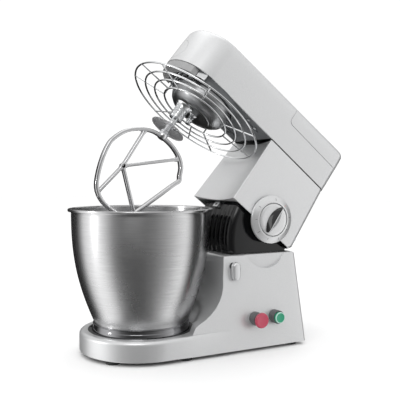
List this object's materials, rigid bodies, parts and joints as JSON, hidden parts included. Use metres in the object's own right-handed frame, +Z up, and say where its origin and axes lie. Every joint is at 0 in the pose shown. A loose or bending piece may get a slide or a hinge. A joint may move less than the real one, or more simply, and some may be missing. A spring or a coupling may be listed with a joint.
{
  "type": "stand mixer",
  "caption": "Tilt-head stand mixer with raised head, steel bowl, K-shaped beater on a planetary hub, wire bowl guard, side dial, two push buttons and a head lever.",
  "frame": {"origin": "under the middle of the outline with the head raised, on the table", "axes": "+X toward the rear column, -Y toward the side with the dial and buttons, +Z up"},
  "size_m": [0.5154, 0.256, 0.5514],
  "materials": {
    "silver_paint": "satin metallic",
    "silver_trim": "satin metallic",
    "black_gloss": "gloss",
    "dark_plastic": "fine texture",
    "underside_grey": "matte",
    "black_rubber": "matte",
    "steel": "brushed",
    "bowl_steel": "brushed",
    "chrome": "polished",
    "cast_aluminium": "as cast",
    "polished_aluminium": "polished",
    "hub_metal": "dark satin",
    "gear_steel": "machined",
    "bronze": "machined",
    "laminated_iron": "laminated",
    "winding": "enamelled wire",
    "board_green": "coated",
    "red_button": "gloss",
    "green_button": "gloss",
    "smoke_plastic": "translucent"
  },
  "bodies": {
    "base": {"base_housing": "silver_paint", "base_plate": "dark_plastic", "rubber_feet": "black_rubber", "base_screws": "steel", "bowl_seat": "dark_plastic", "hinge_neck": "black_gloss", "hinge_pin": "steel", "button_collars": "dark_plastic", "switch_block": "dark_plastic", "power_board": "board_green", "mains_filter": "dark_plastic", "cord_inlet": "black_rubber", "lever_bush": "dark_plastic", "latch_spring": "steel"},
    "stop_button": {"stop_button": "red_button"},
    "start_button": {"start_button": "green_button"},
    "lever": {"head_lever": "silver_trim", "latch_hook": "steel"},
    "bowl": {"mixing_bowl": "bowl_steel", "bowl_foot": "chrome"},
    "head": {"column_shell": "silver_paint", "head_shell": "silver_paint", "seam_gasket": "black_rubber", "head_underside": "underside_grey", "nose_chin": "silver_trim", "hinge_brackets": "cast_aluminium", "head_chassis": "cast_aluminium", "gearbox_housing": "cast_aluminium", "ring_gear": "gear_steel", "gearbox_bearings": "steel", "layshaft_bearings": "steel", "stator": "laminated_iron", "motor_bells": "cast_aluminium", "motor_bearings": "steel", "brush_gear": "winding", "speed_board": "board_green", "dial_ring": "silver_trim", "outlet_deck": "dark_plastic", "guard_clamp": "chrome", "guard_catch": "black_gloss", "head_screws": "steel", "drive_belt": "black_rubber", "slow_outlet": "steel", "latch_strike": "steel"},
    "knob": {"speed_knob": "silver_trim", "knob_shaft": "steel"},
    "high_cover": {"high_outlet_cover": "silver_paint"},
    "slow_cover": {"slow_outlet_cover": "silver_trim"},
    "guard": {"wire_guard": "chrome"},
    "hub": {"planet_hub": "hub_metal", "hub_shaft": "steel", "hub_gear": "gear_steel", "spindle_bushes": "bronze"},
    "tool": {"tool_socket": "chrome", "planet_pinion": "gear_steel", "splash_disc": "smoke_plastic", "beater_shaft": "chrome", "k_beater": "polished_aluminium"},
    "layshaft": {"layshaft": "gear_steel"},
    "motor": {"armature": "laminated_iron"}
  },
  "joints": [
    {"name": "head_tilt", "type": "hinge", "parent": "base", "child": "head", "pos_m": [0.13359, 0, 0.184], "axis": [0, 1, 0], "range_deg": [-38.5, 0]},
    {"name": "bowl_twist", "type": "hinge", "parent": "base", "child": "bowl", "pos_m": [-0.1344, 0, 0.018], "axis": [0, 0, 1], "range_deg": [0, 22]},
    {"name": "stop_press", "type": "slide", "parent": "base", "child": "stop_button", "axis": [0, 1, 0], "range_m": [0, 0.003], "stiffness_N_per_m": 800, "springref_m": -0.001},
    {"name": "start_press", "type": "slide", "parent": "base", "child": "start_button", "axis": [0, 1, 0], "range_m": [0, 0.003], "stiffness_N_per_m": 800, "springref_m": -0.001},
    {"name": "lever_turn", "type": "hinge", "parent": "base", "child": "lever", "pos_m": [0.0028, -0.08, 0.143], "axis": [0, 1, 0], "range_deg": [0, 25], "stiffness_Nm_per_rad": 1, "springref_deg": -5.73},
    {"name": "knob_turn", "type": "hinge", "parent": "head", "child": "knob", "pos_m": [0.08224, -0.0717, 0.22064], "axis": [0, 1, 0], "range_deg": [-30, 240]},
    {"name": "high_cover_lift", "type": "slide", "parent": "head", "child": "high_cover", "axis": [0.6225, 0, 0.7826], "range_m": [0, 0.03]},
    {"name": "slow_cover_pull", "type": "slide", "parent": "head", "child": "slow_cover", "axis": [-0.7826, 0, 0.6225], "range_m": [0, 0.025]},
    {"name": "guard_twist", "type": "hinge", "parent": "head", "child": "guard", "pos_m": [-0.0307, 0, 0.40796], "axis": [0.6225, 0, 0.7826], "range_deg": [0, 22]},
    {"name": "hub_spin", "type": "hinge", "parent": "head", "child": "hub", "pos_m": [-0.01638, 0, 0.42596], "axis": [0.6225, 0, 0.7826], "continuous": true},
    {"name": "tool_spin", "type": "hinge", "parent": "hub", "child": "tool", "pos_m": [-0.06055, -0.00434, 0.40999], "axis": [0.6225, 0, 0.7826], "continuous": true},
    {"name": "lay_spin", "type": "hinge", "parent": "head", "child": "layshaft", "pos_m": [0.04996, 0, 0.43708], "axis": [0.6225, 0, 0.7826], "continuous": true},
    {"name": "motor_spin", "type": "hinge", "parent": "head", "child": "motor", "pos_m": [0.1565, 0, 0.314], "axis": [0.6225, 0, 0.7826], "continuous": true}
  ],
  "couplings": [
    {"joint": "tool_spin", "follows": "hub_spin", "ratio": -3.5},
    {"joint": "lay_spin", "follows": "hub_spin", "ratio": -3.8},
    {"joint": "motor_spin", "follows": "hub_spin", "ratio": -11.4}
  ]
}
